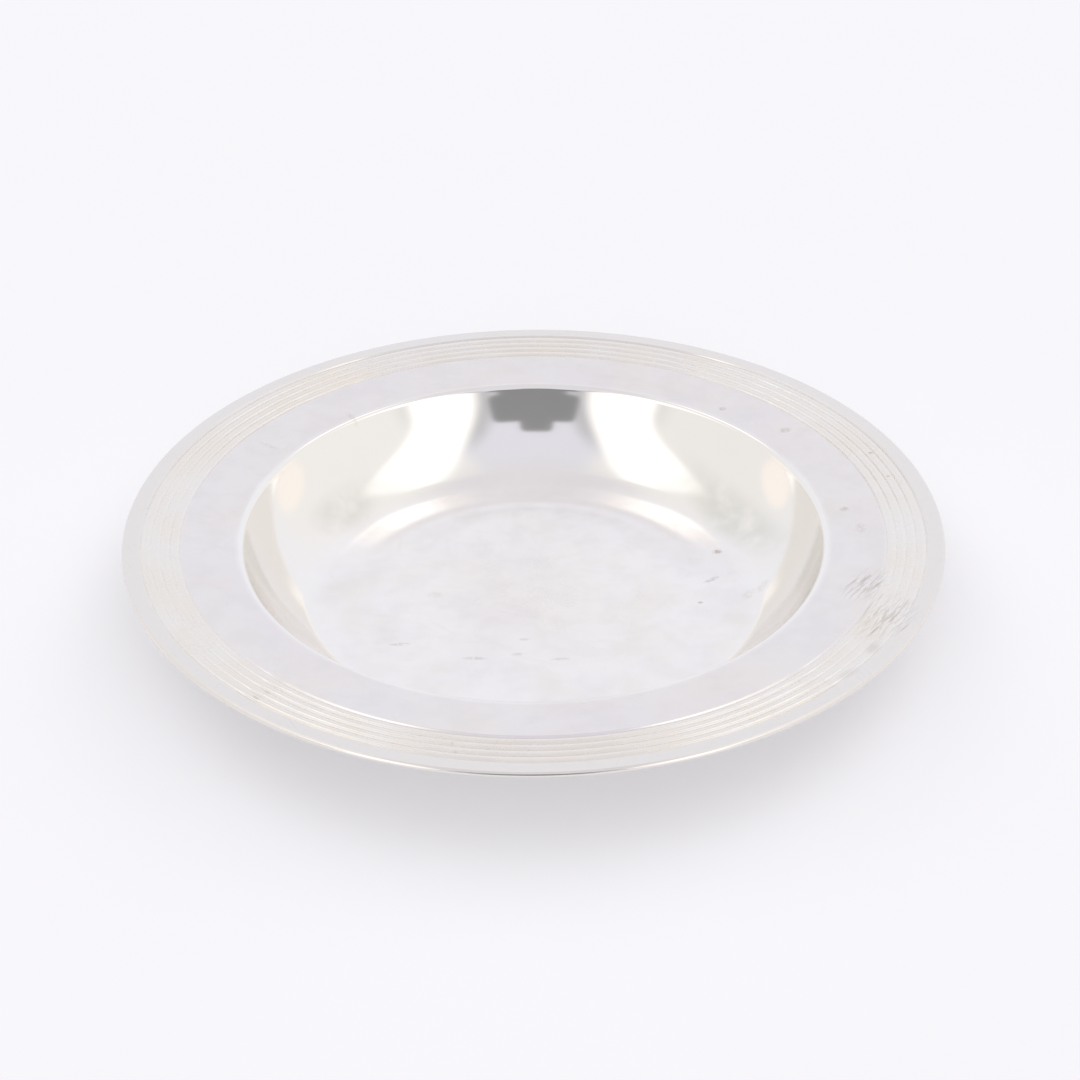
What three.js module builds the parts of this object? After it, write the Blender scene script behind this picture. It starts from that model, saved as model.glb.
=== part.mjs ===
// A silver porridge plate: a spun body, a reeded strip soldered on a ledge round its rim,
// and a round-edged wire soldered outside the strip. About 180 mm across and 20 mm high.
// Millimetres, +Z up. The origin is the centre of the flat base, on the table.

import * as THREE from 'three';

// Spun body
const SHEET = 0.8; // thickness of the spun sheet
const WELL_DIAMETER = 127.2; // inside the well, at the top of its wall
const HEEL_RADIUS = 8; // inner curve from the floor into the wall
const HEEL_ANGLE = 37; // degrees from level where the heel runs into the wall
const WALL_RADIUS = 40; // inner curve of the wall
const WALL_ANGLE = 65; // degrees from level at the top of the wall
const SHOULDER_RADIUS = 0.8; // under side of the bend from the wall to the rim
const RIM_WIDTH = 12; // plain rim, from the shoulder to the first groove
const RIM_ANGLE = 4.6; // degrees that the plain rim rises outwards

// Reeded border
const REED_COUNT = 4;
const REED_PITCH = 2.13; // groove to groove
const REED_HEIGHT = 0.38; // depth of the grooves between the reeds
const REED_CROWN = 0.05; // rise of a reed's top between its flanks
const FLANK_WIDTH = 0.5; // sloping side of a groove
const STRIP_WEB = 0.2; // metal under the grooves of the strip
const BORDER_ANGLE = 3.4; // degrees that the border rises outwards
const SOLDER_GAP = 0.05; // film of solder between two pieces

// Edge wire
const WIRE_WIDTH = 3.97;
const MARGIN_FALL = 0.15; // how much the wire thins towards its rounded edge

// Facets
const SEGMENTS = 64; // round the plate
const HEEL_STEPS = 5;
const WALL_STEPS = 8;
const SHOULDER_STEPS = 5;
const LIP_STEPS = 8;

const heelSlope = THREE.MathUtils.degToRad(HEEL_ANGLE);
const wallSlope = THREE.MathUtils.degToRad(WALL_ANGLE);
const rimSlope = THREE.MathUtils.degToRad(RIM_ANGLE);
const borderSlope = THREE.MathUtils.degToRad(BORDER_ANGLE);

const heelReach = HEEL_RADIUS * Math.sin(heelSlope);
const wallReach = WALL_RADIUS * (Math.sin(wallSlope) - Math.sin(heelSlope));
const floorRadius = WELL_DIAMETER / 2 - heelReach - wallReach;
const stripThickness = REED_HEIGHT + STRIP_WEB;
const stripWidth = REED_COUNT * REED_PITCH;
const seatDepth = stripThickness + SOLDER_GAP;
const ledgeWidth = SOLDER_GAP + stripWidth;

/** The point a distance along a slope from a start, and a height square to it. */
function along(start, slope, distance, height) {
  return new THREE.Vector2(
    start.x + distance * Math.cos(slope) - height * Math.sin(slope),
    start.y + distance * Math.sin(slope) + height * Math.cos(slope),
  );
}

/** Points of an arc from one slope to another. A negative radius bends the profile downwards. */
function bend(start, radius, fromSlope, toSlope, steps) {
  return Array.from({ length: steps }, (_, step) => {
    const slope = THREE.MathUtils.lerp(fromSlope, toSlope, (step + 1) / steps);
    return new THREE.Vector2(
      start.x + radius * (Math.sin(slope) - Math.sin(fromSlope)),
      start.y + radius * (Math.cos(fromSlope) - Math.cos(slope)),
    );
  });
}

/** One side of the spun sheet, from the axis to the start of the rim, a depth below its upper side. */
function sheetSide(depth) {
  const side = [new THREE.Vector2(0, SHEET - depth), new THREE.Vector2(floorRadius, SHEET - depth)];
  const turn = (radius, from, to, steps) => side.push(...bend(side.at(-1), radius, from, to, steps));
  turn(HEEL_RADIUS + depth, 0, heelSlope, HEEL_STEPS);
  turn(WALL_RADIUS + depth, heelSlope, wallSlope, WALL_STEPS);
  turn(depth - SHEET - SHOULDER_RADIUS, wallSlope, rimSlope, SHOULDER_STEPS);
  return side;
}

const upperSide = sheetSide(0);
const lowerSide = sheetSide(SHEET);
const rimEnd = along(upperSide.at(-1), rimSlope, RIM_WIDTH, 0);

/** A point of the border: distance outwards from its seat, and height over the tops of the reeds. */
function onBorder(distance, height) {
  return along(rimEnd, borderSlope, FLANK_WIDTH + distance, height);
}

/** The spun sheet: out along its under side to the ledge, and back over the rim into the well. */
function bodyProfile() {
  return [
    ...lowerSide,
    along(lowerSide.at(-1), rimSlope, RIM_WIDTH - SHEET, 0),
    onBorder(-SHEET, -seatDepth - SHEET),
    onBorder(ledgeWidth, -seatDepth - SHEET),
    onBorder(ledgeWidth, -seatDepth),
    onBorder(0, -seatDepth),
    onBorder(0, -REED_HEIGHT),
    rimEnd,
    ...upperSide.toReversed(),
  ];
}

/** The strip: a flat back, and a row of reeds whose flanks meet in grooves, from the outermost in. */
function borderProfile() {
  const reeds = [];
  for (let reed = 0; reed < REED_COUNT; reed += 1) {
    const groove = ledgeWidth - reed * REED_PITCH;
    reeds.push(
      onBorder(groove, -REED_HEIGHT),
      onBorder(groove - FLANK_WIDTH, -REED_CROWN),
      onBorder(groove - REED_PITCH / 2, 0),
      onBorder(groove - REED_PITCH + FLANK_WIDTH, -REED_CROWN),
    );
  }
  return [
    onBorder(SOLDER_GAP, -stripThickness),
    onBorder(ledgeWidth, -stripThickness),
    ...reeds,
    onBorder(SOLDER_GAP, -REED_HEIGHT),
    onBorder(SOLDER_GAP, -stripThickness),
  ];
}

/** The wire: a flat back, a rounded lip, a plain margin and an inner face as tall as strip and ledge. */
function wireProfile() {
  const inner = ledgeWidth + SOLDER_GAP;
  const foot = -seatDepth - SHEET;
  const lipRadius = (-MARGIN_FALL - foot) / 2;
  const lipCentre = foot + lipRadius;
  const lip = Array.from({ length: LIP_STEPS + 1 }, (_, step) => {
    const turn = Math.PI * (step / LIP_STEPS - 0.5);
    return onBorder(
      inner + WIRE_WIDTH - lipRadius + lipRadius * Math.cos(turn),
      lipCentre + lipRadius * Math.sin(turn),
    );
  });
  return [
    onBorder(inner, foot),
    ...lip,
    onBorder(inner + FLANK_WIDTH, 0),
    onBorder(inner, -REED_HEIGHT),
    onBorder(inner, foot),
  ];
}

/** A piece turned about the plate's axis, which stands along +Z. */
function turned(name, profile, colour, roughness) {
  const material = new THREE.MeshStandardMaterial({ color: colour, roughness, metalness: 1 });
  const mesh = new THREE.Mesh(new THREE.LatheGeometry(profile, SEGMENTS), material);
  mesh.name = name;
  mesh.rotation.x = Math.PI / 2;
  return mesh;
}

const plate = new THREE.Group();
plate.add(
  turned('plate_body', bodyProfile(), 0xdedce0, 0.22),
  turned('reeded_border', borderProfile(), 0xdcd8d0, 0.28),
  turned('edge_wire', wireProfile(), 0xd8d6da, 0.24),
);

export default plate;
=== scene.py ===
"""Looks of a silver porridge plate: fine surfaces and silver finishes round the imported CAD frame.

Laid out as a Blender add-on and run as a script. Lengths are in metres and angles in radians,
apart from the tables below, which say what they are in.
"""

import bpy
import numpy as np
from bpy.props import FloatProperty, FloatVectorProperty, IntProperty, PointerProperty
from bpy.types import Operator, Panel, PropertyGroup
from mathutils import Matrix, Vector


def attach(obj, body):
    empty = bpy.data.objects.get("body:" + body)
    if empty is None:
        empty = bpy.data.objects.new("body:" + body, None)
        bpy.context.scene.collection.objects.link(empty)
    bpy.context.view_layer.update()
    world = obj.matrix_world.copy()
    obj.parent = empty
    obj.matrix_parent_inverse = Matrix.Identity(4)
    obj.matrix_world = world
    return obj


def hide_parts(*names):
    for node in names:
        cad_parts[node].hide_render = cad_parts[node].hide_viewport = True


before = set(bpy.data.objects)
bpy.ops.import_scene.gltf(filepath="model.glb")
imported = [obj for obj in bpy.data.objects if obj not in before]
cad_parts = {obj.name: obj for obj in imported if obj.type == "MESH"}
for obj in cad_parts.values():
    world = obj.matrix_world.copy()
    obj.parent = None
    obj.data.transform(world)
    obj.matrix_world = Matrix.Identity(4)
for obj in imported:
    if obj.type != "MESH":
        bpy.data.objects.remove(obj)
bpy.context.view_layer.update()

bl_info = {
    "name": "Porridge Plate",
    "version": (1, 0, 0),
    "blender": (4, 5, 0),
    "location": "3D View > Sidebar > Plate",
    "description": "Builds a worn silver porridge plate with a reeded border",
    "category": "Mesh",
}

MM = 0.001
DEGREE = np.pi / 180

# Places of the inputs and the output that a colour Mix node uses.
MIX_FACTOR, MIX_FROM, MIX_TO, MIX_RESULT = 0, 6, 7, 2
# Soft ends for a Map Range node, whose inputs are value, from, to, and the results at both.
SMOOTH = {"interpolation_type": "SMOOTHSTEP"}

# Columns of a turned surface round the axis.
COLUMNS = 384
# Rows over the body's floor, heel, wall and shoulder, on its under side and on its upper side.
UNDER_STEPS = (8, 10, 24, 8)
UPPER_STEPS = (18, 20, 44, 14)
# Rows over the plain rim, one flank, one reed, the wire's margin, its lip, and a flat back.
RIM_STEPS = 20
FLANK_STEPS = 12
REED_STEPS = 24
MARGIN_STEPS = 16
LIP_STEPS = 24
BACK_STEPS = 6
SHARP_ANGLE = 35 * DEGREE

# Share of a flank that is rounded at each end.
FLANK_ROUND = 0.3
# How much rounder wear has made the tops of the reeds than the die did.
WORN_CROWN = 2
# Share of a seam that solder fills at the surface.
SEAM_FILLED = 0.9
# Share of the groove depth that wear has left, by azimuth in degrees from the front to the right.
GROOVE_LEFT = (
    (-180, 0.5), (-157, 0.55), (-147, 0.85), (-137, 0.55), (-100, 0.6), (-62, 0.55), (-44, 0.35),
    (-40, 0.95), (-20, 1.0), (0, 0.95), (20, 1.0), (40, 0.95), (46, 0.35), (60, 0.3), (76, 0.6),
    (95, 0.75), (125, 0.6), (138, 0.5), (148, 0.85), (157, 0.55), (180, 0.5),
)
# Slow waves of the sheet: waves round the axis, wave length in mm along the radius, phase, share.
SWAY_WAVES = (
    (2, 55, 0.4, 1.0),
    (3, 38, 1.9, 0.7),
    (5, 29, 3.1, 0.5),
    (8, 21, 0.9, 0.35),
    (13, 15, 4.4, 0.2),
)
# Height over the flat base at which the slow waves are full.
SWAY_FULL = 1 * MM

# How scuffed the body is at the outer and the inner end of each stretch that shows: first flank,
# rim, shoulder, wall, heel, floor and the floor's middle. The hidden side has one value.
SCUFFS = ((0.5, 0.7), (0.85, 0.8), (0.2, 0.1), (0.1, 0.1), (0.15, 0.75), (0.75, 1), (1, 1))
HIDDEN_SCUFF = 0.75
# Radii in mm between which the polished shoulder passes into the dulled rim.
RIM_START = (64.4, 66)
# Share of a groove's depth at which grime begins and is full.
GRIME_DEPTH = (0.55, 1)
# Where the floor's edge mirrors as if it turned up: from the front to the back in mm along y with
# the slope that it reaches, and radii in mm over which that slope comes and goes.
TURN_UP_BACK = (-5, 25, 0, 0.3)
TURN_UP_COMES = (36, 44)
TURN_UP_GOES = (46.5, 52, 1, 0)

# How far the noise goes up from no hairline to a full one.
HAIRLINE_FADE = 0.07
# How far in mm the noise is moved for each further direction of hairlines, so that no two match.
HAIRLINE_SHIFT = (7.3, 3.1)
# A mark reaches this far up and down in mm, so that it shows on any height of the plate.
MARK_HEIGHT = 1000

# Marks in mm from the axis, +x right and +y to the back: middle, half length, half width, turn in
# degrees, strength. First stains on the floor, then stains on the rim and the border.
FLOOR_STAINS = (
    (42.1, 17.3, 1.6, 1.2, 20, 0.6),
    (40.1, 5.8, 2.8, 0.9, 35, 0.35),
    (37.1, -3.4, 0.8, 0.6, 0, 0.5),
    (48.0, -0.4, 3.0, 1.8, 60, 0.14),
    (51.2, 0.8, 2.5, 1.6, 60, 0.14),
    (-22.2, 0.6, 2.2, 1.5, 0, 0.12),
    (-29.3, -18.7, 3.0, 0.8, 4, 0.3),
    (-12.9, -24.2, 3.4, 0.8, -3, 0.3),
    (5.6, -24.8, 2.6, 0.8, 2, 0.25),
    (-3.6, -22.8, 1.8, 0.8, 5, 0.25),
    (-2.0, -17.2, 1.8, 0.8, 0, 0.2),
)
RIM_STAINS = (
    (69.5, -48.5, 3.4, 2.0, 58, 0.3),
    (63.5, -57.5, 4.6, 1.6, 42, 0.22),
    (72.0, -1.5, 1.4, 2.6, 0, 0.2),
    (58.9, 41.1, 1.8, 1.5, 0, 0.34),
    (69.2, 6.8, 1.4, 1.2, 0, 0.32),
    (44.9, 51.8, 1.3, 1.1, 0, 0.32),
    (77.5, 29.4, 0.8, 0.6, 0, 0.7),
    (80.3, 19.1, 0.7, 0.5, 0, 0.6),
    (-55.8, -64.2, 1.3, 0.5, -45, 0.5),
    (-53.8, -61.9, 1.0, 0.5, -45, 0.45),
    (-15.6, -82.4, 0.9, 0.6, 80, 0.35),
    (-16.2, -79.4, 0.8, 0.5, 80, 0.3),
    (-42.6, 49.7, 1.0, 3.0, 35, 0.16),
    (-61.0, 36.0, 1.0, 3.4, 60, 0.14),
)
# Scratches on the right of the rim, and where short strokes lie thick there.
RIM_SCRATCHES = (
    (70.0, -33.8, 5.7, 0.34, 63, 0.6),
    (70.3, -42.2, 3.8, 0.34, 54, 0.6),
    (71.9, -34.7, 3.4, 0.30, 61, 0.55),
    (75.5, -36.7, 5.6, 0.34, 54, 0.6),
    (77.4, -33.6, 4.2, 0.32, 57, 0.55),
    (68.0, -22.9, 3.2, 0.40, 47, 0.65),
    (70.6, -22.2, 3.0, 0.40, 50, 0.65),
    (73.4, -24.0, 3.4, 0.36, 52, 0.6),
    (71.0, -26.4, 3.0, 0.36, 55, 0.5),
    (73.2, -29.4, 2.6, 0.30, 60, 0.5),
    (76.8, -41.5, 3.0, 0.32, 50, 0.5),
)
STROKE_PATCHES = (
    (70.5, -24.5, 9, 6, 50, 1),
    (73.5, -37.5, 13, 7, 58, 1),
)
# Painted grey shade along the heel, broad patches of warm film, and where grooves hold most grime.
HEEL_SHADE_MARKS = (
    (46.3, 26.4, 27, 5.5, 120, 1),
    (-43.5, 31.5, 15, 5, -126, 0.9),
)
WARM_PATCHES = (
    (38, -60, 24, 11, 32, 1),
    (66, 30, 9, 16, 20, 0.6),
    (71, -31, 14, 8, 58, 1),
    (0, 0, 36, 36, 0, 0.6),
)
GRIME_PATCHES = (
    (76, 26, 40, 14, 109, 1),
    (0, -82, 34, 14, 0, 0.8),
    (-70, 42, 30, 14, 59, 0.6),
    (0, 82, 40, 14, 0, 0.5),
)

# The room, in degrees of azimuth from the front and of elevation. First where its parts set in and
# are full: sides and back by azimuth, top by elevation, and a lower top behind by both.
ROOM_SIDES = (30, 55)
ROOM_BACK = (100, 160)
ROOM_TOP = (60, 76)
LOW_TOP_BEHIND = (140, 165)
LOW_TOP_UP = (38, 50)
# Ovals by the middle's azimuth and elevation, half width and half height.
SOFTBOX_OVAL = (72, 20, 50, 44)
SOFTBOX_CORNER = (97, 15, 47, 26)
REFLECTOR_OVAL = (112.5, 8.5, 10, 8)
PANEL_OVAL = (154, 54, 11, 7)
GAP_PARTS = ((-0.7, 31.5, 18.7, 9.5), (-2, 34, 8, 14), (0, 6, 15, 17))
# For each kind of oval: its power, which is higher for squarer ones, and the ends of its soft edge.
SOFTBOX_EDGE = (2, 0.82, 1.12)
CORNER_EDGE = (3, 0.8, 1.2)
FRAME_EDGE = (2, 1.1, 1.5)
REFLECTOR_EDGE = (2, 0.5, 1.3)
PANEL_EDGE = (2, 0, 2)
GAP_EDGE = (8, 0.6, 1.4)
# The dark frame shows low by elevation, and near the gap by azimuth.
FRAME_LOW = (42, 60, 1, 0)
FRAME_NEAR_GAP = (40, 60, 1, 0)
# The softbox ends where azimuth plus slant times elevation passes from the first to the second.
SOFTBOX_SLANT = 0.6
SOFTBOX_END = (121.5, 129.5, 1, 0)
# The softbox dims towards its back end between these azimuths.
SOFTBOX_DIMS = (70, 88)
# Soft lamps over the paper: azimuth, elevation, a power that is higher for a narrower beam, level.
SOFT_LAMPS = (
    (0, 40, 8, 2.2),
    (90, 66, 8, 1.4),
    (-90, 66, 8, 1.2),
    (135, 35, 16, 2.1),
    (-135, 35, 16, 1.8),
)

# The paper is a disc of rings with these radii, just under the plate's base.
PAPER_COLUMNS = 96
PAPER_RINGS = (0, 0.3, 1, 4)
PAPER_GAP = 0.02 * MM

SENSOR_WIDTH = 36
CLIP_START = 0.01
# The concave wall mirrors itself several times over.
MIRROR_BOUNCES = 12
ALL_BOUNCES = 16


def linear(hex_colour):
    """Linear red, green, blue and alpha 1 of an sRGB hex colour such as "F2EBDD"."""
    srgb = np.array([int(hex_colour[place:place + 2], 16) for place in (0, 2, 4)]) / 255
    values = np.where(srgb <= 0.04045, srgb / 12.92, ((srgb + 0.055) / 1.055) ** 2.4)
    return (*values.tolist(), 1.0)


def length(name, default, description):
    """A property for a length that is given in millimetres and kept in metres."""
    return FloatProperty(name=name, description=description, default=default * MM, min=0,
                         unit="LENGTH", precision=5)


def angle(name, default, description):
    """A property for an angle that is given in degrees and kept in radians."""
    return FloatProperty(name=name, description=description, default=default * DEGREE,
                         subtype="ANGLE")


def colour(name, hex_colour, description):
    """A property for a colour that is given as an sRGB hex value."""
    return FloatVectorProperty(name=name, description=description, default=linear(hex_colour),
                               size=4, subtype="COLOR", min=0, max=1)


def level(name, default, description):
    """A property for a brightness, where 1 is white."""
    return FloatProperty(name=name, description=description, default=default, min=0)


class PlateSizes(PropertyGroup):
    """Sizes of the spun body, the reeded border and the edge wire, as in the CAD source."""

    sheet: length("Sheet", 0.8, "Thickness of the spun silver sheet")
    well_diameter: length("Well", 127.2, "Diameter at the top of the curved wall")
    heel_radius: length("Heel radius", 8, "Radius between floor and wall, on the upper side")
    heel_angle: angle("Heel angle", 37, "Slope where the heel passes into the wall")
    wall_radius: length("Wall radius", 40, "Radius of the curved wall, on the upper side")
    wall_angle: angle("Wall angle", 65, "Slope at the top of the wall")
    shoulder_radius: length("Shoulder radius", 0.8, "Radius under the shoulder, at the rim")
    rim_width: length("Rim width", 12, "Plain rim from the shoulder to the border")
    rim_angle: angle("Rim angle", 4.6, "Rise of the plain rim")
    reed_count: IntProperty(name="Reeds", description="Reeds side by side in the border",
                            default=4, min=1)
    reed_pitch: length("Reed pitch", 2.13, "Distance from one reed to the next")
    reed_height: length("Reed height", 0.38, "Height of a reed over its grooves")
    reed_crown: length("Reed crown", 0.05, "Rise of a reed's rounded top")
    flank_width: length("Flank width", 0.5, "Width of a groove's sloped side")
    strip_web: length("Strip web", 0.2, "Thickness of the strip under its grooves")
    border_angle: angle("Border angle", 3.4, "Rise of the border and the edge")
    solder_gap: length("Solder gap", 0.05, "Seam between two pieces")
    wire_width: length("Wire width", 3.97, "Width of the edge wire, with its rounded lip")
    margin_fall: length("Margin fall", 0.15, "Fall of the wire's flat margin towards the lip")
    sway_height: length("Sway", 0.012, "Height of the slow waves from spinning and use")


class SilverColours(PropertyGroup):
    """Colours of the silver and of what has settled on it."""

    clean: colour("Clean silver", "F5F3F2", "Polished silver that little touches")
    scuffed: colour("Scuffed silver", "F7F4F3", "Silver whitened by fine scratches")
    rim_film: colour("Rim film", "EEEAEA", "Plain rim dulled by handling")
    reed_film: colour("Reed film", "F0EDEB", "Reeds dulled by handling, with bright tops")
    edge_film: colour("Edge film", "ECE8E6", "Edge wire dulled by handling")
    warm_tarnish: colour("Warm tarnish", "EDE3D2", "Thin yellowish film of tarnish")
    lilac_tarnish: colour("Lilac tarnish", "E6E0E6", "Thicker lilac film of tarnish")
    # Painted shade: a grey band along the heel that stands in for the darker room the heel mirrors.
    heel_painted_shade: colour("Heel painted shade", "C9CBC6", "Grey painted shade along the heel")
    oxide: colour("Oxide", "6E665E", "Dark deposit in hairlines and mottled patches")
    stain: colour("Stain", "867253", "Brown stain, also in grooves and scratches")


class StageSettings(PropertyGroup):
    """Camera, floor and light of the studio."""

    camera_distance: length("Camera distance", 600, "From the lens to the middle of the rim")
    camera_height: length("Aim height", 19.295, "Height of the aim point over the floor")
    camera_elevation: angle("Camera elevation", 32.45, "Angle of the view below the horizon")
    camera_roll: angle("Camera roll", 0.452, "Turn of the camera about its own axis")
    focal_pixels: FloatProperty(name="Focal length", default=2724.2,
                                description="Focal length in pixels of the frame")
    frame_pixels: FloatProperty(name="Frame", default=1080,
                                description="Width of the square frame in pixels")
    aim_pixel: FloatVectorProperty(name="Aim pixel", default=(533.26, 525.65), size=2,
                                   description="Where the aim point is, from the top left")
    floor_colour: colour("Floor", "FAFAFC", "Matt white paper")
    backdrop_colour: colour("Backdrop", "FDFDFF", "Plain white that is seen in the floor")
    backdrop_share: FloatProperty(name="Backdrop share", default=0.35, min=0, max=1,
                                  subtype="FACTOR",
                                  description="Share of plain white in the floor that is seen")
    front_colour: colour("Front of the room", "E8E7EF", "Light from the camera's side")
    side_colour: colour("Sides of the room", "F8F6F2", "Light from the left and the right")
    back_colour: colour("Back of the room", "F7F8FD", "Light from behind the plate")
    top_colour: colour("Top of the room", "E7E5E8", "Light from above")
    room_lean: FloatProperty(name="Room lean", default=0.02,
                             description="How much brighter the room is on the right")
    frame_colour: colour("Softbox frame", "C6C6C8", "Dark frame round the softboxes")
    gap_colour: colour("Gap", "8F8F90", "Dark gap between the softboxes")
    softbox_colour: colour("Softbox", "FFFDF9", "Light of the softboxes")
    softbox_radiance: level("Softbox level", 1.35, "Brightness of the softboxes in front")
    softbox_end_radiance: level("Softbox end", 1.15, "Brightness of the softboxes' back ends")
    reflector_colour: colour("Low reflectors", "FFF8F0", "Warm light from low on both sides")
    reflector_radiance: level("Reflector level", 1.06, "Brightness of the low reflectors")
    panel_colour: colour("Ceiling panels", "FFFBF6", "Light from high behind the softboxes")
    panel_radiance: level("Panel level", 1.5, "Brightness of the ceiling panels")
    fill_colour: colour("Soft light", "FCFAFD", "Plain soft light that falls on the paper")
    fill_level: level("Soft light level", 0.98, "Brightness of the soft lamps")


def add(tree, kind, inputs=(), out=0, **settings):
    """Adds a shader node and gives one of its outputs, or all of them where out is None.

    Settings go to the node's attributes. Inputs are a row of values for its first sockets, or a
    dict of values by the sockets' names or places. A value that is itself a socket is linked.
    """
    made = tree.nodes.new("ShaderNode" + kind)
    for name, value in settings.items():
        setattr(made, name, value)
    for name, value in inputs.items() if isinstance(inputs, dict) else enumerate(inputs):
        if isinstance(value, bpy.types.NodeSocket):
            tree.links.new(value, made.inputs[name])
        else:
            made.inputs[name].default_value = value
    return made.outputs if out is None else made.outputs[out]


def bend(start, radius, slope_from, slope_to, steps):
    """Points of an arc in (distance from the axis, height) that turns from one slope to another.

    From slope a to b the distance grows by R (sin b - sin a) and the height by R (cos a - cos b).
    A negative radius bends down. The start itself is left out.
    """
    slope = np.linspace(slope_from, slope_to, steps + 1)[1:]
    outward = start[0] + radius * (np.sin(slope) - np.sin(slope_from))
    upward = start[1] + radius * (np.cos(slope_from) - np.cos(slope))
    return np.stack([outward, upward], axis=1)


def line(start, end, steps):
    """Points from start, left out, to end, spaced by half a cosine wave: closer at both ends."""
    share = (1 - np.cos(np.linspace(0, np.pi, steps + 1)[1:])) / 2
    return np.asarray(start) + share[:, None] * (np.asarray(end) - np.asarray(start))


def along(start, slope, distance, height):
    """Points at distances along a slope and heights square to it, both numbers or arrays."""
    outward = start[0] + distance * np.cos(slope) - height * np.sin(slope)
    upward = start[1] + distance * np.sin(slope) + height * np.cos(slope)
    return np.stack(np.broadcast_arrays(outward, upward), axis=-1)


def sheet_side(sizes, depth, steps):
    """One side of the spun sheet from the floor's middle to the rim, a depth under the upper side.

    Four stretches one after another: flat floor, heel arc, wall arc, and a shoulder arc that bends
    back to the rim's slope.
    """
    floor_steps, heel_steps, wall_steps, shoulder_steps = steps
    heel_reach = sizes.heel_radius * np.sin(sizes.heel_angle)
    wall_reach = sizes.wall_radius * (np.sin(sizes.wall_angle) - np.sin(sizes.heel_angle))
    floor_radius = sizes.well_diameter / 2 - heel_reach - wall_reach
    middle = np.array([[0, sizes.sheet - depth]])
    floor = line(middle[0], (floor_radius, sizes.sheet - depth), floor_steps)
    heel = bend(floor[-1], sizes.heel_radius + depth, 0, sizes.heel_angle, heel_steps)
    wall = bend(heel[-1], sizes.wall_radius + depth, sizes.heel_angle, sizes.wall_angle, wall_steps)
    shoulder_radius = depth - sizes.sheet - sizes.shoulder_radius
    shoulder = bend(wall[-1], shoulder_radius, sizes.wall_angle, sizes.rim_angle, shoulder_steps)
    return middle, floor, heel, wall, shoulder


def border_start(sizes):
    """Point on the rim's upper side where the border's first flank begins."""
    upper = sheet_side(sizes, 0, (1, 1, 1, 1))
    return along(upper[-1][-1], sizes.rim_angle, sizes.rim_width, 0)


def on_border(sizes, distance, height):
    """Points of the border: distance outwards from its first groove, height over the reeds' tops."""
    return along(border_start(sizes), sizes.border_angle, sizes.flank_width + distance, height)


def fall_over(share):
    """Fall from 0 to 1 across a flank: straight in the middle, with a parabola at each end."""
    near = np.minimum(share, 1 - share)
    bent = near ** 2 / (2 * FLANK_ROUND * (1 - FLANK_ROUND))
    straight = (near - FLANK_ROUND / 2) / (1 - FLANK_ROUND)
    half = np.where(near < FLANK_ROUND, bent, straight)
    return np.where(share < 0.5, half, 1 - half)


def flank(sizes):
    """Distances across a flank from its top to its foot, and how far each lies below.

    The foot reaches out over most of the seam, which solder fills.
    """
    share = np.linspace(0, 1, FLANK_STEPS + 1)
    width = sizes.flank_width + SEAM_FILLED * sizes.solder_gap
    return share * width, sizes.reed_height * fall_over(share)


def worn(azimuth):
    """Share of the groove depth that is left at each azimuth, read along the table of wear."""
    place, share = np.array(GROOVE_LEFT).T
    return np.interp((azimuth / DEGREE + 180) % 360 - 180, place, share)


def sway(sizes, outward, azimuth):
    """Slow waves of the sheet: a sum of cosines round the axis times sines along the radius."""
    total = 0
    for turns, wave_length, phase, share in SWAY_WAVES:
        ripple = np.sin(2 * np.pi * outward / (wave_length * MM) + phase)
        total = total + share * np.cos(turns * azimuth + phase) * ripple
    return sizes.sway_height * total


def carry_round(sizes, profile, sunk):
    """Carries a profile round the axis: an array of points, rows along it and columns round it.

    A point at azimuth a from the front is (r sin a, -r cos a, z). Where the profile is sunk it
    first goes down square to the border by that depth times what wear leaves. Then the sheet's slow
    waves are added to z.
    """
    azimuth = np.linspace(0, 2 * np.pi, COLUMNS, endpoint=False)[None, :]
    depth = np.asarray(sunk)[:, None] * worn(azimuth)
    outward = profile[:, :1] + depth * np.sin(sizes.border_angle)
    upward = profile[:, 1:] - depth * np.cos(sizes.border_angle)
    lift = np.clip(upward / SWAY_FULL, 0, 1) * sway(sizes, outward, azimuth)
    return np.stack([outward * np.sin(azimuth), -outward * np.cos(azimuth), upward + lift], axis=2)


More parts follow.
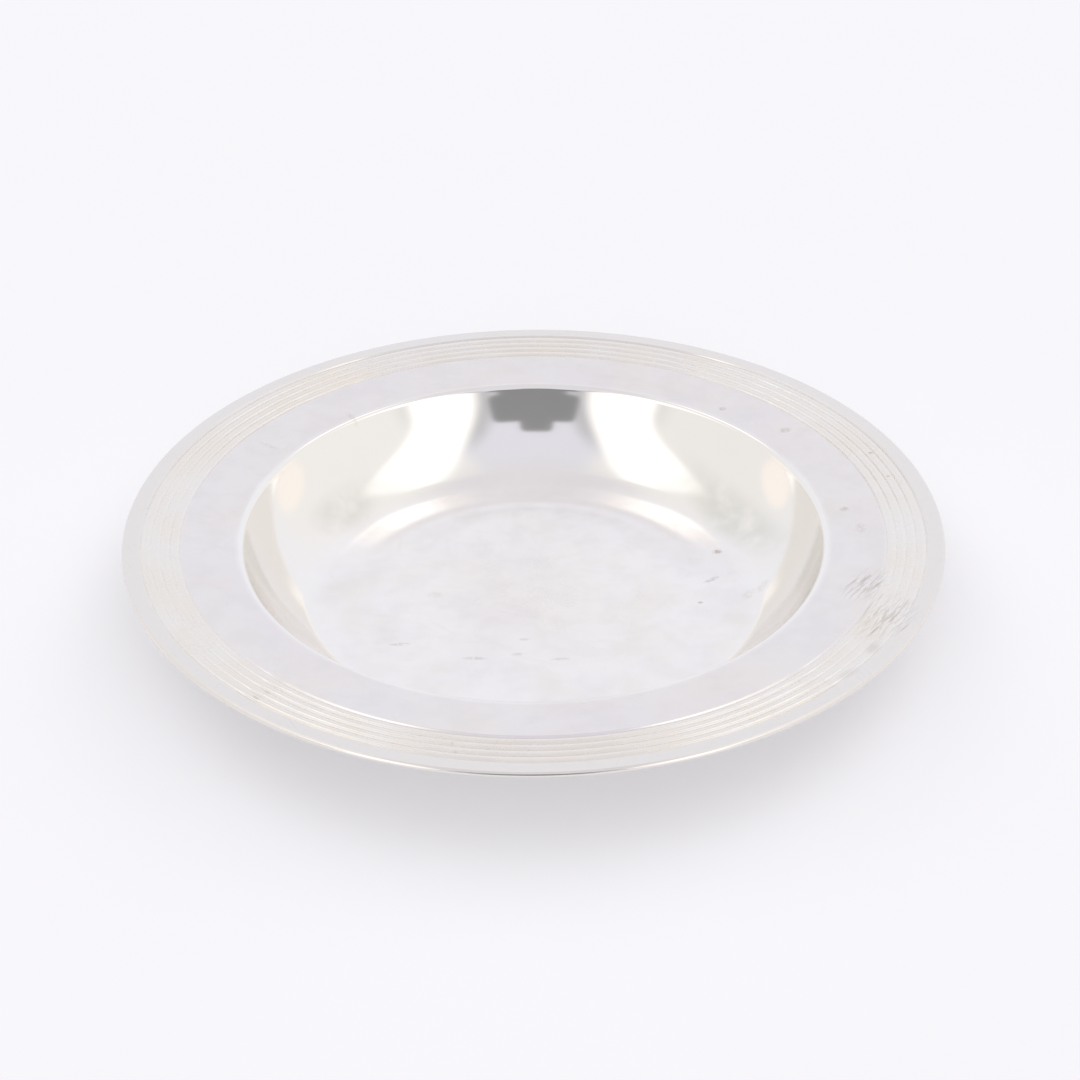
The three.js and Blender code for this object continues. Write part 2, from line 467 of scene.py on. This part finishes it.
def skin(name, points, closed, measures):
    """A mesh object over rows and columns of points, with named measures of its rows.

    The columns close on themselves. The rows do too when closed is true. Otherwise the first and
    the last row lie on the axis, and each becomes one point with a fan of triangles. Each measure
    becomes an attribute of the mesh, which its material reads.
    """
    rows, columns = points.shape[:2]
    if closed:
        kept = np.arange(rows * columns)
        index = kept.reshape(rows, columns)
        below, above = index, np.roll(index, -1, axis=0)
        fans = []
    else:
        last = (rows - 1) * columns
        kept = np.concatenate([[0], np.arange(columns, last), [last]])
        index = 1 + np.arange((rows - 2) * columns).reshape(rows - 2, columns)
        below, above = index[:-1], index[1:]
        beside = np.roll(index, -1, axis=1)
        first_pole = np.zeros(columns, int)
        last_pole = np.full(columns, len(kept) - 1)
        fans = np.stack([first_pole, beside[0], index[0]], axis=1).tolist()
        fans += np.stack([index[-1], beside[-1], last_pole], axis=1).tolist()
    corners = [below, np.roll(below, -1, axis=1), np.roll(above, -1, axis=1), above]
    quads = np.stack(corners, axis=2).reshape(-1, 4).tolist()
    mesh = bpy.data.meshes.new(name)
    mesh.from_pydata(points.reshape(-1, 3)[kept].tolist(), [], quads + fans)
    for measure, values in measures.items():
        spread = np.broadcast_to(np.asarray(values)[:, None], (rows, columns)).reshape(-1)[kept]
        attribute = mesh.attributes.new(measure, "FLOAT", "POINT")
        attribute.data.foreach_set("value", spread.astype(np.float32))
    mesh.shade_smooth()
    mesh.set_sharp_from_angle(angle=SHARP_ANGLE)
    mesh.validate()
    piece = bpy.data.objects.new(name, mesh)
    bpy.context.scene.collection.objects.link(piece)
    return piece


def place_in_mm(tree):
    """Object coordinates in millimetres, and the distance from the plate's axis in millimetres."""
    metres = add(tree, "TexCoord", out="Object")
    place = add(tree, "VectorMath", {"Vector": metres, "Scale": 1 / MM}, operation="SCALE")
    flat = add(tree, "VectorMath", (place, (1, 1, 0)), operation="MULTIPLY")
    return place, add(tree, "VectorMath", (flat,), out="Value", operation="LENGTH")


def marks(tree, place, spots, softness):
    """How strongly listed marks show at each point: ellipses that fade from middle to edge."""
    shown = 0.0
    for x, y, half_length, half_width, turn, strength in spots:
        there = {"Vector": place, "Location": (x, y, 0), "Rotation": (0, 0, turn * DEGREE),
                 "Scale": (half_length, half_width, MARK_HEIGHT)}
        mapped = add(tree, "Mapping", there, vector_type="TEXTURE")
        ball = add(tree, "TexGradient", (mapped,), out="Fac", gradient_type="SPHERICAL")
        mark = add(tree, "MapRange", (ball, 0, softness, 0, strength), **SMOOTH)
        shown = add(tree, "Math", (shown, mark), operation="MAXIMUM")
    return shown


def hairlines(tree, place, turns, line_length, line_width, cover):
    """Fine straight scratches in several directions, with sizes in millimetres.

    Each direction is noise stretched along it, cut off where it is low.
    """
    shown = 0.0
    for number, turn in enumerate(turns):
        shift = (HAIRLINE_SHIFT[0] * number, HAIRLINE_SHIFT[1] * number, 0)
        stretched = {"Vector": place, "Location": shift, "Rotation": (0, 0, turn * DEGREE),
                     "Scale": (line_length, line_width, 1)}
        mapped = add(tree, "Mapping", stretched, vector_type="TEXTURE")
        grain = {"Vector": mapped, "Scale": 1, "Detail": 1}
        noise = add(tree, "TexNoise", grain, noise_dimensions="2D")
        lines = add(tree, "MapRange", (noise, 1 - cover, 1 - cover + HAIRLINE_FADE), **SMOOTH)
        shown = add(tree, "Math", (shown, lines), operation="MAXIMUM")
    return shown


def strokes(tree, place):
    """Short strokes side by side, where something hard has rubbed over the right of the rim."""
    lines = hairlines(tree, place, (50, 62), line_length=5, line_width=0.45, cover=0.45)
    patches = marks(tree, place, STROKE_PATCHES, softness=1)
    return add(tree, "Math", (lines, patches), operation="MULTIPLY")


def clouds(tree, place, size, low, high, shift=0):
    """Patches of about a size in mm, from 0 where the noise is low to 1 where it is high."""
    moved = add(tree, "VectorMath", (place, (shift, 2 * shift, 0)), operation="ADD")
    grain = {"Vector": moved, "Scale": 1 / size, "Detail": 3, "Roughness": 0.55}
    return add(tree, "MapRange", (add(tree, "TexNoise", grain), low, high), **SMOOTH)


def rings_and_dimples(tree, place, radius, spacing, ring_height, dimple_size, dimple_height):
    """Relief of the bare metal in mm: faint rings about the axis, and dimples of about a size."""
    rings = {"W": radius, "Scale": 1 / spacing, "Detail": 2}
    rings = add(tree, "TexNoise", rings, noise_dimensions="1D")
    rings = add(tree, "Math", (rings, ring_height), operation="MULTIPLY")
    dimples = add(tree, "TexNoise", {"Vector": place, "Scale": 1 / dimple_size, "Detail": 2})
    return add(tree, "Math", (dimples, dimple_height, rings), operation="MULTIPLY_ADD")


def silver(name, start_colour, start_roughness, relief, lay_on, lean=None):
    """A silver material: a bare metal with films, scratches and deposits laid over it in turn.

    relief holds the four sizes in mm of the rings and dimples. lay_on and lean are functions of
    the node tree, the place in mm and the distance from the axis. The first gives a list of layers:
    where each lies from 0 to 1, its colour, how much of that colour covers, what it adds to the
    roughness, and its height in mm. The second, where there is one, gives the slope by which the
    surface seems to rise outwards more than its mesh does.
    """
    material = bpy.data.materials.new(name)
    material.use_nodes = True
    tree = material.node_tree
    tree.nodes.clear()
    place, radius = place_in_mm(tree)
    base, roughness = start_colour, start_roughness
    height = rings_and_dimples(tree, place, radius, *relief)
    for where, tone, cover, rougher, rise in lay_on(tree, place, radius):
        amount = add(tree, "Math", (where, cover), operation="MULTIPLY")
        tones = {MIX_FACTOR: amount, MIX_FROM: base, MIX_TO: tone}
        base = add(tree, "Mix", tones, out=MIX_RESULT, data_type="RGBA")
        roughness = add(tree, "Math", (where, rougher, roughness), operation="MULTIPLY_ADD")
        height = add(tree, "Math", (where, rise, height), operation="MULTIPLY_ADD")
    normal = add(tree, "Bump", {"Strength": 1, "Distance": MM, "Height": height})
    if lean:
        inward = add(tree, "VectorMath", (place, (-1, -1, 0)), operation="MULTIPLY")
        inward = add(tree, "VectorMath", (inward,), operation="NORMALIZE")
        slope = lean(tree, place, radius)
        normal = add(tree, "VectorMath", (inward, slope, normal), operation="MULTIPLY_ADD")
        normal = add(tree, "VectorMath", (normal,), operation="NORMALIZE")
    metal = {"Base Color": base, "Metallic": 1, "Roughness": roughness, "Normal": normal}
    add(tree, "OutputMaterial", {"Surface": add(tree, "BsdfPrincipled", metal)}, out=None)
    return material


def spun_polished_silver(colours):
    """Silver sheet spun over a form and polished, then used until floor and rim are scuffed.

    To the eye it is a warm white mirror on the wall, a soft sheen with hairlines on floor and rim,
    thin patches of yellow and lilac tarnish, a few stains, and faint rings from the spinning tool.
    """
    def wear(tree, place, radius):
        scuff = add(tree, "Attribute", out="Fac", attribute_name="scuff")
        on_rim = add(tree, "MapRange", (radius, *RIM_START), **SMOOTH)
        warm = clouds(tree, place, size=17, low=0.42, high=0.72)
        patches = marks(tree, place, WARM_PATCHES, softness=0.9)
        warm = add(tree, "Math", (warm, patches), operation="MAXIMUM")
        warm = add(tree, "Math", (warm, scuff), operation="MULTIPLY")
        lilac = clouds(tree, place, size=23, low=0.42, high=0.7, shift=40)
        lilac = add(tree, "Math", (lilac, scuff), operation="MULTIPLY")
        mottle = clouds(tree, place, size=7, low=0.4, high=0.66, shift=90)
        mottle = add(tree, "Math", (mottle, scuff), operation="MULTIPLY")
        # Painted shade: the heel's grey band stands in for a darker part of the room that the heel
        # mirrors.
        heel_shade = marks(tree, place, HEEL_SHADE_MARKS, softness=0.8)
        broken = clouds(tree, place, size=8, low=0.2, high=0.6, shift=15)
        heel_shade = add(tree, "Math", (heel_shade, broken), operation="MULTIPLY")
        # Real hairlines are a few hundredths of a millimetre wide. They are drawn wider to show.
        directions = (12, 58, 97, 141, 166)
        fine = hairlines(tree, place, directions, line_length=13, line_width=0.4, cover=0.28)
        fine = add(tree, "Math", (fine, scuff), operation="MULTIPLY")
        stains = marks(tree, place, FLOOR_STAINS + RIM_STAINS, softness=0.7)
        speckled = clouds(tree, place, size=0.8, low=0.3, high=0.6)
        stains = add(tree, "Math", (stains, speckled), operation="MULTIPLY")
        scratches = marks(tree, place, RIM_SCRATCHES, softness=1)
        return [
            (scuff, colours.scuffed, 1, 0.14, 0),
            (on_rim, colours.rim_film, 1, 0, 0),
            (lilac, colours.lilac_tarnish, 0.3, 0, 0),
            (warm, colours.warm_tarnish, 0.25, 0.03, 0),
            (mottle, colours.oxide, 0.04, 0.03, 0),
            (heel_shade, colours.heel_painted_shade, 0.45, 0.03, 0),
            (fine, colours.oxide, 0.03, 0.04, -0.0001),
            (stains, colours.stain, 0.8, 0.15, 0),
            (scratches, colours.stain, 0.5, 0.1, -0.004),
            (strokes(tree, place), colours.stain, 0.28, 0.08, -0.002),
        ]

    def turned_up(tree, place, radius):
        # Towards the back the floor's edge mirrors as if it turned up softly before the heel.
        across = add(tree, "SeparateXYZ", (place,), out="Y")
        slope = add(tree, "MapRange", (across, *TURN_UP_BACK), **SMOOTH)
        for ramp in (TURN_UP_COMES, TURN_UP_GOES):
            share = add(tree, "MapRange", (radius, *ramp), **SMOOTH)
            slope = add(tree, "Math", (slope, share), operation="MULTIPLY")
        return slope

    relief = (1.1, 0.0002, 2.6, 0.0003)
    return silver("spun_polished_silver", colours.clean, 0.08, relief, wear, turned_up)


def drawn_silver(colours, name, film, bare_roughness, tarnished):
    """Silver drawn through dies and polished, for the reeded strip and the edge wire.

    To the eye it mirrors along fine drawn lines, its crowns are rubbed bright, and a thin deposit
    sits in the grooves, where a cloth doesn't reach.
    """
    def wear(tree, place, radius):
        grime = add(tree, "Attribute", out="Fac", attribute_name="grime")
        grime = add(tree, "MapRange", (grime, *GRIME_DEPTH), **SMOOTH)
        patchy = clouds(tree, place, size=9, low=0.35, high=0.65)
        held = marks(tree, place, GRIME_PATCHES, softness=0.9)
        thick = add(tree, "Math", (patchy, 0.5, held), operation="MULTIPLY_ADD")
        deposit = add(tree, "Math", (grime, thick), operation="MULTIPLY")
        warm = clouds(tree, place, size=18, low=0.25, high=0.75, shift=25)
        # These hairlines too are drawn wider than real ones, so that they show.
        directions = (24, 71, 119, 155)
        fine = hairlines(tree, place, directions, line_length=11, line_width=0.36, cover=0.28)
        return [
            (patchy, film, 1, 0.07, 0),
            (warm, colours.warm_tarnish, tarnished, 0, 0),
            (fine, colours.oxide, 0.05, 0.03, -0.001),
            (deposit, colours.stain, 0.16, 0.2, 0),
            (marks(tree, place, RIM_STAINS, softness=0.9), colours.stain, 0.6, 0.15, 0),
            (marks(tree, place, RIM_SCRATCHES, softness=1), colours.stain, 0.5, 0.1, -0.004),
            (strokes(tree, place), colours.stain, 0.28, 0.08, -0.002),
        ]

    return silver(name, film, bare_roughness, (0.7, 0.006, 2.2, 0.002), wear)


def seen_directly(tree):
    """1 for a ray from the camera, from a mirror or through glass, 0 for light on matt surfaces."""
    seen = 0.0
    path = add(tree, "LightPath", out=None)
    for kind in ("Is Camera Ray", "Is Glossy Ray", "Is Transmission Ray"):
        seen = add(tree, "Math", (path[kind], seen), operation="MAXIMUM")
    return seen


def matt_paper(stage):
    """Matt white paper, the plain floor: even and pale, with a barely seen mottle of its fibres.

    A share of plain white is mixed in for the rays that see it.
    """
    material = bpy.data.materials.new("matt_white_paper")
    material.use_nodes = True
    tree = material.node_tree
    tree.nodes.clear()
    place, _ = place_in_mm(tree)
    mottle = clouds(tree, place, size=60, low=0.3, high=0.7)
    mottle = add(tree, "Math", (mottle, 0.04), operation="MULTIPLY")
    tones = {MIX_FACTOR: mottle, MIX_FROM: stage.floor_colour, MIX_TO: stage.front_colour}
    base = add(tree, "Mix", tones, out=MIX_RESULT, data_type="RGBA")
    sheet = {"Base Color": base, "Roughness": 0.9, "Specular IOR Level": 0.1}
    paper = add(tree, "BsdfPrincipled", sheet)
    white = add(tree, "Emission", {"Color": stage.backdrop_colour, "Strength": 1})
    share = add(tree, "Math", (seen_directly(tree), stage.backdrop_share), operation="MULTIPLY")
    both = add(tree, "MixShader", (share, paper, white))
    add(tree, "OutputMaterial", {"Surface": both}, out=None)
    return material


def dress(piece, node, material):
    """Gives a piece its material, lets it ride on the part's one body and stand for a CAD node."""
    piece.data.materials.append(material)
    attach(piece, "root")
    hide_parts(node)


class PLATE_OT_spun_body(Operator):
    """Build the spun body: floor, heel, curved wall, shoulder, plain rim and the border's seat"""

    bl_idname = "plate.spun_body"
    bl_label = "Spun Body"

    def execute(self, context):
        sizes = context.scene.plate_sizes
        seat = -sizes.reed_height - sizes.strip_web - sizes.solder_gap
        ledge = sizes.solder_gap + sizes.reed_count * sizes.reed_pitch
        hidden = [np.concatenate(sheet_side(sizes, sizes.sheet, UNDER_STEPS))]
        rim_start = hidden[0][-1]
        # Corners of the hidden side beyond the shoulder, each with the rows that lead to it.
        corners = (
            (along(rim_start, sizes.rim_angle, sizes.rim_width - sizes.sheet, 0), 10),
            (on_border(sizes, -sizes.sheet, seat - sizes.sheet), 3),
            (on_border(sizes, ledge, seat - sizes.sheet), 8),
            (on_border(sizes, ledge, seat), 2),
            (on_border(sizes, 0, seat), 6),
        )
        for corner, steps in corners:
            hidden.append(line(hidden[-1][-1], corner, steps))
        across, fall = flank(sizes)
        first_flank = along(border_start(sizes), sizes.border_angle, across[::-1], 0)
        middle, floor, heel, wall, shoulder = sheet_side(sizes, 0, UPPER_STEPS)
        rim = line(border_start(sizes), shoulder[-1], RIM_STEPS)
        shown = [first_flank, rim, shoulder[-2::-1], wall[::-1], heel[::-1], floor[::-1], middle]
        rows = [len(stretch) for stretch in shown]
        hidden_rows = sum(len(stretch) for stretch in hidden)
        scuff = [np.linspace(*ends, count) for ends, count in zip(SCUFFS, rows)]
        measures = {"scuff": np.concatenate([np.full(hidden_rows, HIDDEN_SCUFF), *scuff])}
        sunk = np.concatenate([np.zeros(hidden_rows), fall[::-1], np.zeros(sum(rows[1:]))])
        profile = np.concatenate(hidden + shown)
        piece = skin("spun_body", carry_round(sizes, profile, sunk), False, measures)
        material = spun_polished_silver(context.scene.plate_colours)
        dress(piece, "plate_body", material)
        return {"FINISHED"}


class PLATE_OT_reeded_border(Operator):
    """Build the reeded border: a strip with a flat back and rounded reeds between V grooves"""

    bl_idname = "plate.reeded_border"
    bl_label = "Reeded Border"

    def execute(self, context):
        sizes = context.scene.plate_sizes
        inner = sizes.solder_gap
        outer = inner + sizes.reed_count * sizes.reed_pitch
        half_pitch = sizes.reed_pitch / 2
        across = np.linspace(outer, inner, sizes.reed_count * REED_STEPS + 1)
        # Each point's distance to the nearest groove gives the flank's fall to it. The crown
        # between two flanks is a shallow parabola.
        off_groove = np.abs((across - inner + half_pitch) % sizes.reed_pitch - half_pitch)
        fall = fall_over(1 - np.clip(off_groove / sizes.flank_width, 0, 1))
        half_land = half_pitch - sizes.flank_width
        off_crown = np.clip((half_pitch - off_groove) / half_land, 0, 1)
        crown = WORN_CROWN * sizes.reed_crown
        reeds_sunk = crown * off_crown ** 2 + (sizes.reed_height - crown) * fall
        back = -sizes.reed_height - sizes.strip_web
        back_start = on_border(sizes, inner, back)
        flat_back = line(back_start, on_border(sizes, outer, back), BACK_STEPS)
        reeds = on_border(sizes, across, 0)
        profile = np.concatenate([back_start[None, :], flat_back, reeds])
        hidden_rows = 1 + len(flat_back)
        sunk = np.concatenate([np.zeros(hidden_rows), reeds_sunk])
        measures = {"grime": np.concatenate([np.ones(hidden_rows), fall])}
        piece = skin("reeded_strip", carry_round(sizes, profile, sunk), True, measures)
        colours = context.scene.plate_colours
        material = drawn_silver(colours, "drawn_silver_reeds", colours.reed_film,
                                bare_roughness=0.22, tarnished=0.4)
        dress(piece, "reeded_border", material)
        return {"FINISHED"}


class PLATE_OT_edge_wire(Operator):
    """Build the edge wire: a flank towards the reeds, a flat margin and a half-round lip"""

    bl_idname = "plate.edge_wire"
    bl_label = "Edge Wire"

    def execute(self, context):
        sizes = context.scene.plate_sizes
        inner = 2 * sizes.solder_gap + sizes.reed_count * sizes.reed_pitch
        flank_top = inner + sizes.flank_width
        foot = -sizes.reed_height - sizes.strip_web - sizes.solder_gap - sizes.sheet
        # The lip is half a circle: out by R cos t and up by R (1 + sin t), t from -90 to 90 degrees.
        lip_radius = (-sizes.margin_fall - foot) / 2
        lip_middle = inner + sizes.wire_width - lip_radius
        turn = np.linspace(-np.pi / 2, np.pi / 2, LIP_STEPS + 1)
        lip = on_border(sizes, lip_middle + lip_radius * np.cos(turn),
                        foot + lip_radius * (1 + np.sin(turn)))
        back_start = on_border(sizes, inner, foot)
        flat_back = line(back_start, on_border(sizes, lip_middle, foot), BACK_STEPS)[:-1]
        margin = line(lip[-1], on_border(sizes, flank_top, 0), MARGIN_STEPS)
        across, fall = flank(sizes)
        last_flank = on_border(sizes, flank_top - across[1:], 0)
        outside = np.concatenate([back_start[None, :], flat_back, lip, margin])
        profile = np.concatenate([outside, last_flank])
        sunk = np.concatenate([np.zeros(len(outside)), fall[1:]])
        measures = {"grime": sunk / sizes.reed_height}
        piece = skin("lip_wire", carry_round(sizes, profile, sunk), True, measures)
        colours = context.scene.plate_colours
        material = drawn_silver(colours, "drawn_silver_wire", colours.edge_film,
                                bare_roughness=0.12, tarnished=0.1)
        dress(piece, "edge_wire", material)
        return {"FINISHED"}


def oval(tree, across, up, shape, power, inner, outer):
    """1 inside an oval of the room and 0 outside, soft from the measure inner to the measure outer.

    The measure is (|azimuth - middle| / half width) to a power plus the same of the elevation, so
    it is 1 on the edge.
    """
    measure = 0.0
    for value, middle, half in ((across, shape[0], shape[2]), (up, shape[1], shape[3])):
        away = add(tree, "Math", (value, middle), operation="SUBTRACT")
        away = add(tree, "Math", (away,), operation="ABSOLUTE")
        share = add(tree, "Math", (away, half), operation="DIVIDE")
        term = add(tree, "Math", (share, power), operation="POWER")
        measure = add(tree, "Math", (term, measure), operation="ADD")
    return add(tree, "MapRange", (measure, inner, outer, 1, 0), **SMOOTH)


def room_tones(tree, stage, turn, aside, up):
    """Colour of the room without its lamps, laid over in turn from the front to the dark gap.

    It is lilac grey in front and above, nearly white at the sides and cool behind. A darker frame
    runs round the softboxes, and between the two is a dark gap of three squarish ovals.
    """
    behind = add(tree, "MapRange", (aside, *LOW_TOP_BEHIND), **SMOOTH)
    low_top = add(tree, "MapRange", (up, *LOW_TOP_UP), **SMOOTH)
    low_top = add(tree, "Math", (low_top, behind), operation="MULTIPLY")
    softbox_frame = oval(tree, aside, up, SOFTBOX_OVAL, *FRAME_EDGE)
    for value, ramp in ((up, FRAME_LOW), (aside, FRAME_NEAR_GAP)):
        share = add(tree, "MapRange", (value, *ramp), **SMOOTH)
        softbox_frame = add(tree, "Math", (softbox_frame, share), operation="MULTIPLY")
    parts = [
        (add(tree, "MapRange", (aside, *ROOM_SIDES), **SMOOTH), stage.side_colour),
        (add(tree, "MapRange", (aside, *ROOM_BACK), **SMOOTH), stage.back_colour),
        (low_top, stage.top_colour),
        (add(tree, "MapRange", (up, *ROOM_TOP), **SMOOTH), stage.top_colour),
        (softbox_frame, stage.frame_colour),
    ]
    for part in GAP_PARTS:
        parts.append((oval(tree, turn, up, part, *GAP_EDGE), stage.gap_colour))
    shade = stage.front_colour
    for share, tone in parts:
        tones = {MIX_FACTOR: share, MIX_FROM: shade, MIX_TO: tone}
        shade = add(tree, "Mix", tones, out=MIX_RESULT, data_type="RGBA")
    return shade


def softbox_arch(tree, aside, up):
    """1 where a softbox shines: inside one oval, outside a squarer one, before a slanting end."""
    corner = oval(tree, aside, up, SOFTBOX_CORNER, *CORNER_EDGE)
    slant = add(tree, "Math", (up, SOFTBOX_SLANT, aside), operation="MULTIPLY_ADD")
    arch = add(tree, "Math", (1, corner), operation="SUBTRACT")
    whole = oval(tree, aside, up, SOFTBOX_OVAL, *SOFTBOX_EDGE)
    arch = add(tree, "Math", (arch, whole), operation="MULTIPLY")
    end = add(tree, "MapRange", (slant, *SOFTBOX_END), **SMOOTH)
    return add(tree, "Math", (arch, end), operation="MULTIPLY")


def soft_lamps(tree, stage, ray):
    """Strength of the soft light by direction: for each lamp its level times cos t to a power.

    t is the angle between the direction and the lamp.
    """
    soft = 0.0
    for turn, lift, power, strength in SOFT_LAMPS:
        turn, lift = turn * DEGREE, lift * DEGREE
        towards = (np.cos(lift) * np.sin(turn), -np.cos(lift) * np.cos(turn), np.sin(lift))
        facing = add(tree, "VectorMath", (ray, towards), out="Value", operation="DOT_PRODUCT")
        facing = add(tree, "Math", (facing, 0), operation="MAXIMUM")
        glow = add(tree, "Math", (facing, power), operation="POWER")
        strength = strength * stage.fill_level
        soft = add(tree, "Math", (glow, strength, soft), operation="MULTIPLY_ADD")
    return soft


def studio_room(stage):
    """The world: a room that the camera and the silver see, and soft lamps that light the paper.

    The room goes by azimuth from the front and by elevation, and is the same on both sides apart
    from its dark gap and a slight lean in brightness. On each side it has a low reflector, a
    ceiling panel and an arched softbox.
    """
    world = bpy.data.worlds.new("studio_room")
    world.use_nodes = True
    tree = world.node_tree
    tree.nodes.clear()
    ray = add(tree, "TexCoord", out="Generated")
    x, y, z = add(tree, "SeparateXYZ", (ray,), out=None)
    ahead = add(tree, "Math", (y, -1), operation="MULTIPLY")
    turn = add(tree, "Math", (x, ahead), operation="ARCTAN2")
    turn = add(tree, "Math", (turn,), operation="DEGREES")
    aside = add(tree, "Math", (turn,), operation="ABSOLUTE")
    up = add(tree, "Math", (z,), operation="ARCSINE")
    up = add(tree, "Math", (up,), operation="DEGREES")
    room_level = add(tree, "Math", (x, stage.room_lean, 1), operation="MULTIPLY_ADD")
    tones = room_tones(tree, stage, turn, aside, up)
    room = add(tree, "Background", {"Color": tones, "Strength": room_level})
    dimming = (aside, *SOFTBOX_DIMS, stage.softbox_radiance, stage.softbox_end_radiance)
    softbox_level = add(tree, "MapRange", dimming)
    reflector = oval(tree, aside, up, REFLECTOR_OVAL, *REFLECTOR_EDGE)
    panel = oval(tree, aside, up, PANEL_OVAL, *PANEL_EDGE)
    lamps = (
        (reflector, stage.reflector_colour, stage.reflector_radiance),
        (panel, stage.panel_colour, stage.panel_radiance),
        (softbox_arch(tree, aside, up), stage.softbox_colour, softbox_level),
    )
    for share, tone, strength in lamps:
        lamp = add(tree, "Background", {"Color": tone, "Strength": strength})
        room = add(tree, "MixShader", (share, room, lamp))
    soft = {"Color": stage.fill_colour, "Strength": soft_lamps(tree, stage, ray)}
    light = add(tree, "MixShader", (seen_directly(tree), add(tree, "Background", soft), room))
    add(tree, "OutputWorld", {"Surface": light}, out=None)
    return world


def paper_floor(stage):
    """The paper: a disc with points (r sin a, r cos a) on rings of radius r at every azimuth a."""
    azimuth = np.linspace(0, 2 * np.pi, PAPER_COLUMNS, endpoint=False)
    rings = np.array(PAPER_RINGS)[:, None]
    flat = np.full((len(rings), PAPER_COLUMNS), -PAPER_GAP)
    disc = np.stack([rings * np.sin(azimuth), rings * np.cos(azimuth), flat], axis=2)
    points = np.concatenate([disc[0, :1], disc[1:].reshape(-1, 3)])
    index = np.arange(1, len(points)).reshape(-1, PAPER_COLUMNS)
    beside = np.roll(index, -1, axis=1)
    fan = np.stack([beside[0], index[0], np.zeros(PAPER_COLUMNS, int)], axis=1)
    quads = np.stack([beside[:-1], beside[1:], index[1:], index[:-1]], axis=2).reshape(-1, 4)
    mesh = bpy.data.meshes.new("studio_floor")
    mesh.from_pydata(points.tolist(), [], fan.tolist() + quads.tolist())
    mesh.materials.append(matt_paper(stage))
    floor = bpy.data.objects.new("studio_floor", mesh)
    bpy.context.scene.collection.objects.link(floor)
    return floor


def studio_camera(stage):
    """The camera at the photograph's angle, with the aim point shifted to its place in the frame."""
    lift, roll = stage.camera_elevation, stage.camera_roll
    back = Vector((0, -np.cos(lift), np.sin(lift)))
    level_right = Vector((1, 0, 0))
    level_up = Vector((0, np.sin(lift), np.cos(lift)))
    right = level_right * np.cos(roll) - level_up * np.sin(roll)
    up = level_right * np.sin(roll) + level_up * np.cos(roll)
    turn = Matrix((right, up, back)).transposed().to_4x4()
    place = Vector((0, 0, stage.camera_height)) + stage.camera_distance * back
    lens = bpy.data.cameras.new("camera")
    lens.sensor_width = SENSOR_WIDTH
    lens.lens = SENSOR_WIDTH * stage.focal_pixels / stage.frame_pixels
    lens.shift_x = 0.5 - stage.aim_pixel[0] / stage.frame_pixels
    lens.shift_y = stage.aim_pixel[1] / stage.frame_pixels - 0.5
    lens.clip_start = CLIP_START
    camera = bpy.data.objects.new("camera", lens)
    camera.matrix_world = Matrix.Translation(place) @ turn
    bpy.context.scene.collection.objects.link(camera)
    return camera


class PLATE_OT_stage(Operator):
    """Set up the studio: white paper floor, room with its lamps, and the camera"""

    bl_idname = "plate.stage"
    bl_label = "Studio"

    def execute(self, context):
        stage = context.scene.plate_stage
        floor = paper_floor(stage)
        context.scene.world = studio_room(stage)
        context.scene.camera = studio_camera(stage)
        context.scene.view_settings.view_transform = "Standard"
        context.scene.cycles.glossy_bounces = MIRROR_BOUNCES
        context.scene.cycles.max_bounces = ALL_BOUNCES
        return {"FINISHED"}


class PLATE_PT_sidebar(Panel):
    """Lists the plate's pieces and the studio"""

    bl_idname = "PLATE_PT_sidebar"
    bl_label = "Porridge Plate"
    bl_space_type = "VIEW_3D"
    bl_region_type = "UI"
    bl_category = "Plate"

    def draw(self, context):
        for operator in OPERATORS:
            self.layout.operator(operator.bl_idname)
        for group in GROUPS:
            column = self.layout.column()
            settings = getattr(context.scene, group)
            for name in settings.__annotations__:
                column.prop(settings, name)


GROUPS = {"plate_sizes": PlateSizes, "plate_colours": SilverColours, "plate_stage": StageSettings}
OPERATORS = (PLATE_OT_spun_body, PLATE_OT_reeded_border, PLATE_OT_edge_wire, PLATE_OT_stage)


def register():
    """Registers the classes and hangs the settings on the scene."""
    for kind in (*GROUPS.values(), *OPERATORS, PLATE_PT_sidebar):
        bpy.utils.register_class(kind)
    for name, group in GROUPS.items():
        setattr(bpy.types.Scene, name, PointerProperty(type=group))


def unregister():
    """Takes the settings and the classes away again."""
    for name in GROUPS:
        delattr(bpy.types.Scene, name)
    for kind in (PLATE_PT_sidebar, *reversed(OPERATORS), *reversed(GROUPS.values())):
        bpy.utils.unregister_class(kind)


def main():
    register()
    bpy.ops.plate.stage()
    bpy.ops.plate.spun_body()
    bpy.ops.plate.reeded_border()
    bpy.ops.plate.edge_wire()


if __name__ == "__main__":
    main()
